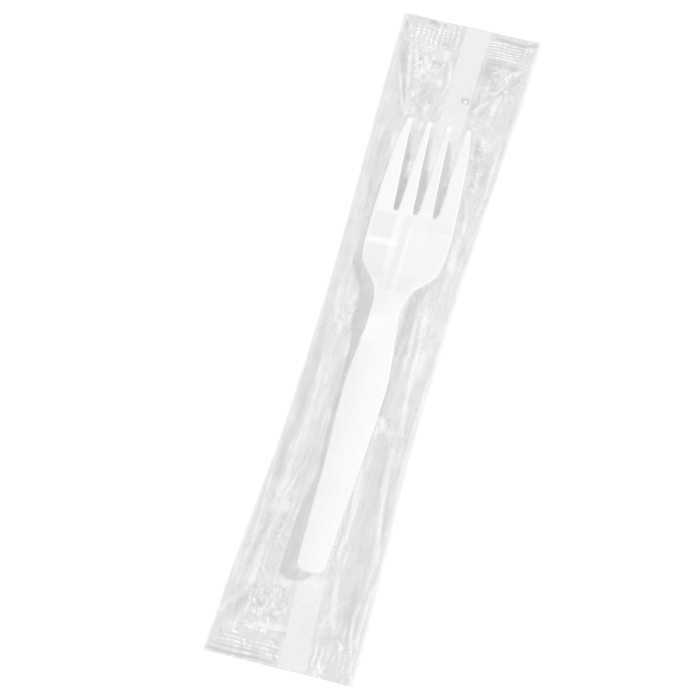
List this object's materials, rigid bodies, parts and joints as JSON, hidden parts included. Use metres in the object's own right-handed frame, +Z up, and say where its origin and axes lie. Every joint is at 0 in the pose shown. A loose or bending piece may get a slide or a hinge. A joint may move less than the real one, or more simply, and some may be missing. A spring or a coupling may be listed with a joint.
{
  "type": "wrapped fork",
  "caption": "Flat white plastic table fork sealed in a clear crinkled film sleeve, with a folded back seam and ribbed heat seals across the ends.",
  "frame": {"origin": "middle of the sleeve's flat back, on the surface it lies on", "axes": "+Z up from the table; +Y along the sleeve towards the fork's tines; +X across the sleeve, to the right with the tines away from the viewer"},
  "size_m": [0.0428, 0.2206, 0.0086],
  "materials": {
    "white_plastic": "smooth moulded white plastic",
    "clear_film": "thin clear glossy film, crinkled, with a faint grey veil"
  },
  "bodies": {
    "root": {"fork": "white_plastic", "film_sleeve": "clear_film"}
  },
  "joints": []
}
